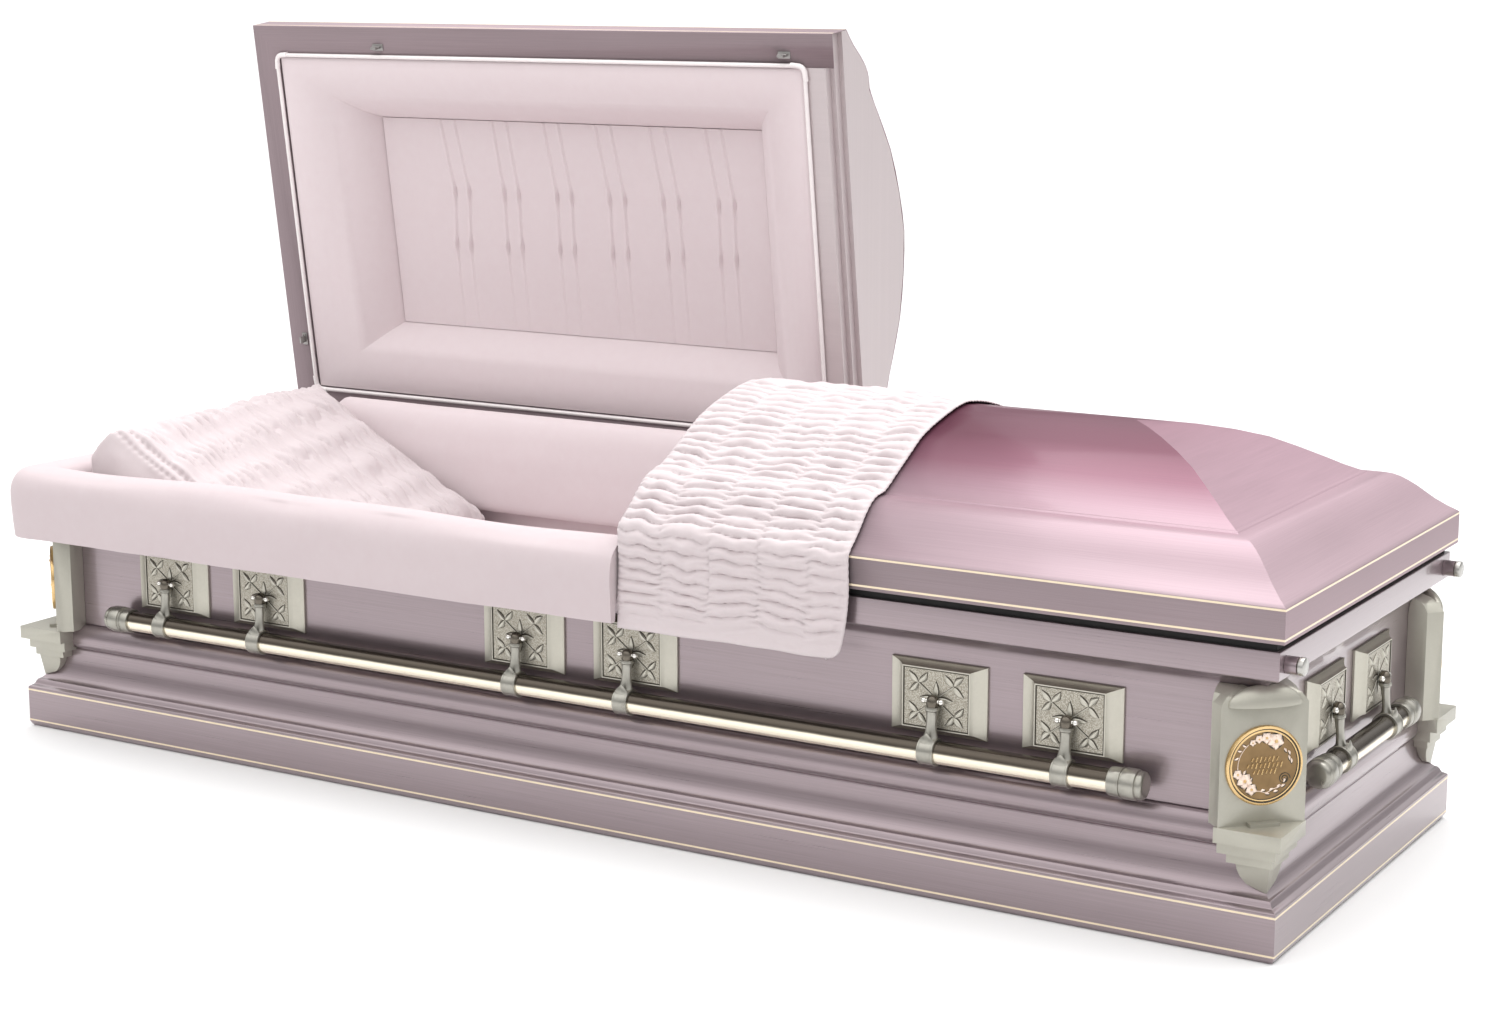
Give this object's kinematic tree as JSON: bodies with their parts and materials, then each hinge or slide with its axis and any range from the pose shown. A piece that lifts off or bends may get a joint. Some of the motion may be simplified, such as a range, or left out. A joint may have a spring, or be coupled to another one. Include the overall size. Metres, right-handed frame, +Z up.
{
  "type": "funeral casket",
  "caption": "Half-couch sheet-steel funeral casket with an open head lid, swing-bar handles on cast lug plates, corner ornaments and a pleated lining.",
  "frame": {"origin": "centre of the underside", "axes": "+Z up, +X towards the foot end, +Y towards the hinge side"},
  "size_m": [2.1727, 0.8688, 1.1219],
  "materials": {
    "painted_shell": "brushed steel under a clear mauve-silver coat, thin cream pinstripes",
    "antique_hardware": "antique champagne-silver plating, darker in the recesses",
    "medallion_brass": "antiqued gold with dark recesses",
    "dark_gasket": "matt black sealing strip",
    "dark_steel": "dull plated steel",
    "white_tube": "white vinyl tube",
    "pink_lining": "pale pink crepe",
    "shirred_fabric": "pale pink shirred velvet"
  },
  "bodies": {
    "casket_body": {"bottom_pan": "painted_shell", "base_moulding_front": "painted_shell", "base_moulding_foot": "painted_shell", "base_moulding_back": "painted_shell", "base_moulding_head": "painted_shell", "body_panel_front": "painted_shell", "body_panel_foot": "painted_shell", "body_panel_back": "painted_shell", "body_panel_head": "painted_shell", "body_gasket": "dark_gasket", "corner_ornament_front_head": "antique_hardware", "corner_ornament_front_foot": "antique_hardware", "corner_ornament_back_foot": "antique_hardware", "corner_ornament_back_head": "antique_hardware", "corner_medallion_front_head": "medallion_brass", "corner_medallion_front_foot": "medallion_brass", "corner_medallion_back_foot": "medallion_brass", "corner_medallion_back_head": "medallion_brass", "lug_plate_front_1": "antique_hardware", "lug_plate_front_2": "antique_hardware", "lug_plate_front_3": "antique_hardware", "lug_plate_front_4": "antique_hardware", "lug_plate_front_5": "antique_hardware", "lug_plate_front_6": "antique_hardware", "lug_plate_back_1": "antique_hardware", "lug_plate_back_2": "antique_hardware", "lug_plate_back_3": "antique_hardware", "lug_plate_back_4": "antique_hardware", "lug_plate_back_5": "antique_hardware", "lug_plate_back_6": "antique_hardware", "lug_plate_foot_1": "antique_hardware", "lug_plate_foot_2": "antique_hardware", "lug_plate_head_1": "antique_hardware", "lug_plate_head_2": "antique_hardware", "mattress": "pink_lining", "body_lining": "pink_lining", "apron": "pink_lining", "pillow": "shirred_fabric", "head_hinge": "dark_steel", "foot_hinge": "dark_steel", "lock_barrel_front": "painted_shell", "lock_barrel_back": "painted_shell"},
    "head_lid": {"head_lid_shell": "painted_shell", "head_lid_header": "painted_shell", "head_lid_gasket": "white_tube", "head_lid_lining_roll": "pink_lining", "head_lid_lining_panel": "pink_lining", "head_lid_hinge_leaf": "dark_steel", "lid_catch_head": "dark_steel", "lid_catch_split": "dark_steel", "lid_catch_end": "dark_steel"},
    "foot_lid": {"foot_lid_shell": "painted_shell", "foot_lid_header": "painted_shell", "foot_lid_lining": "pink_lining", "foot_lid_hinge_leaf": "dark_steel", "throw": "shirred_fabric"},
    "handle_front": {"handle_front": "antique_hardware"},
    "handle_foot": {"handle_foot": "antique_hardware"},
    "handle_back": {"handle_back": "antique_hardware"},
    "handle_head": {"handle_head": "antique_hardware"}
  },
  "joints": [
    {"name": "head_lid_hinge", "type": "hinge", "parent": "casket_body", "child": "head_lid", "pos_m": [0, 0.3545, 0.4184], "axis": [1, 0, 0], "range_deg": [0, 82.4], "deforming": ["apron", "pillow", "body_lining", "head_lid_lining_roll"]},
    {"name": "foot_lid_hinge", "type": "hinge", "parent": "casket_body", "child": "foot_lid", "pos_m": [0, 0.3545, 0.4184], "axis": [-1, 0, 0], "range_deg": [0, 82.4]},
    {"name": "handle_front_swing", "type": "hinge", "parent": "casket_body", "child": "handle_front", "pos_m": [0, -0.3345, 0.2676], "axis": [-1, 0, 0], "range_deg": [0, 85]},
    {"name": "handle_back_swing", "type": "hinge", "parent": "casket_body", "child": "handle_back", "pos_m": [0, 0.3345, 0.2676], "axis": [1, 0, 0], "range_deg": [0, 85]},
    {"name": "handle_foot_swing", "type": "hinge", "parent": "casket_body", "child": "handle_foot", "pos_m": [1.0503, 0, 0.2676], "axis": [0, -1, 0], "range_deg": [0, 85]},
    {"name": "handle_head_swing", "type": "hinge", "parent": "casket_body", "child": "handle_head", "pos_m": [-1.0503, 0, 0.2676], "axis": [0, 1, 0], "range_deg": [0, 85]}
  ]
}
